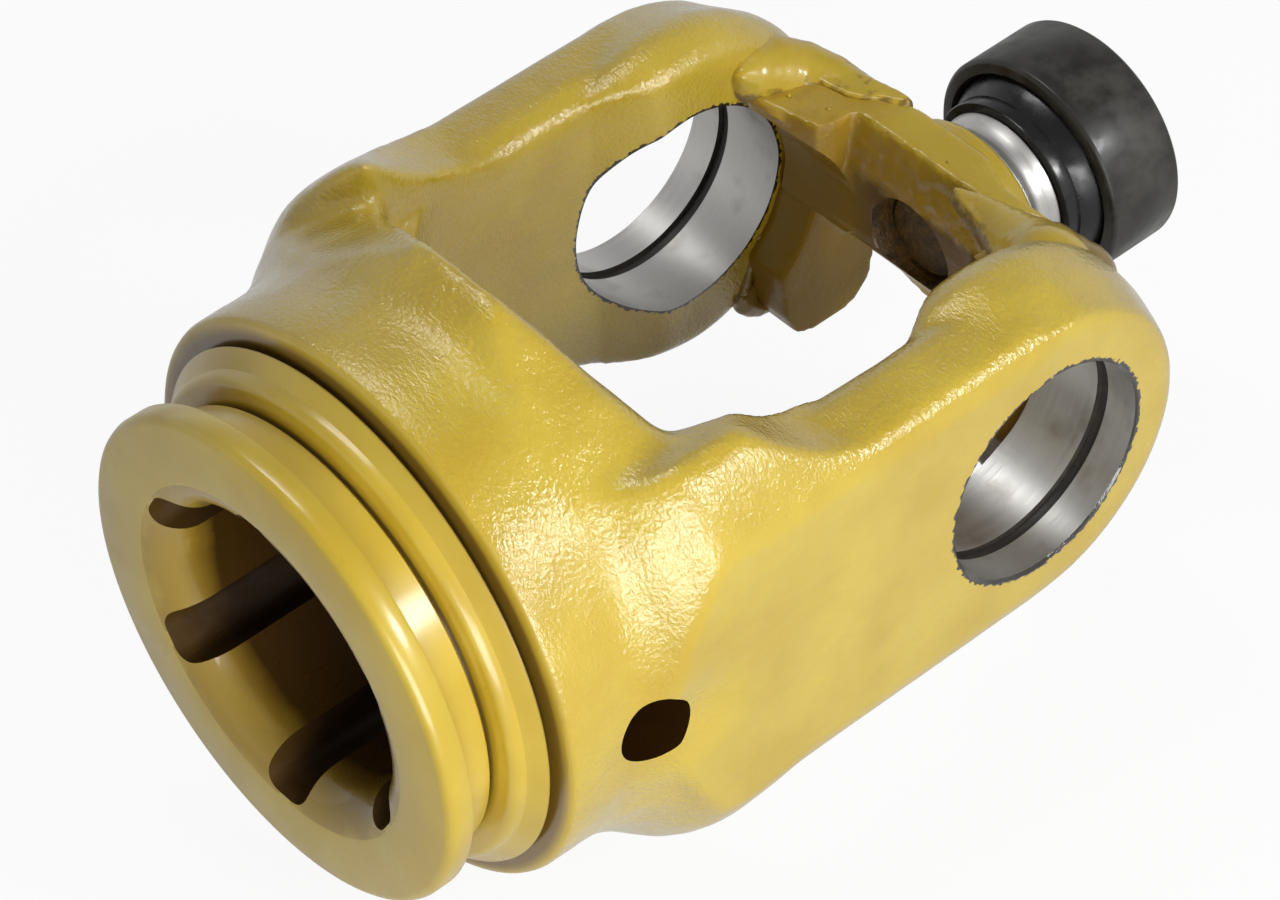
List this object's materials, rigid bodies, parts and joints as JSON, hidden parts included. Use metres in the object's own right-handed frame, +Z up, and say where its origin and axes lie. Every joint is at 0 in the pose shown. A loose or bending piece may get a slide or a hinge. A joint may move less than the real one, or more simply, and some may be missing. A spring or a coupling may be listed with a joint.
{
  "type": "forged yoke",
  "caption": "Forged drive-shaft yoke: lobed hub bore, bored fork arms, and a welded bridge whose stud carries a tilting spherical bearing.",
  "frame": {"origin": "where the hub's axis meets the cross bores' axis", "axes": "+X along the hub's axis from the hub towards the bearing, +Y along the cross bores towards the far arm, +Z up"},
  "size_m": [0.1472, 0.084, 0.0894],
  "materials": {
    "yoke_paint": "satin ochre-yellow paint over a forged skin, bores machined bare",
    "bridge_paint": "satin ochre-yellow paint over a rough sheared forging",
    "stud_steel": "bright turned steel",
    "inner_ring_steel": "black, glossy on the ball and matt on the collar",
    "outer_ring_steel": "phosphated, matt grey-black",
    "clip_steel": "spring steel"
  },
  "bodies": {
    "forging": {"yoke": "yoke_paint", "bridge": "bridge_paint", "stud": "stud_steel", "retaining_ring": "clip_steel"},
    "ball": {"inner_ring": "inner_ring_steel"},
    "race": {"outer_ring": "outer_ring_steel"}
  },
  "joints": [
    {"name": "ball_turn", "type": "hinge", "parent": "forging", "child": "ball", "pos_m": [0.0442, 0, 0], "axis": [1, 0, 0], "continuous": true},
    {"name": "race_tilt", "type": "hinge", "parent": "ball", "child": "race", "pos_m": [0.0442, 0, 0], "axis": [0, 0, 1], "range_deg": [-12, 12]}
  ]
}
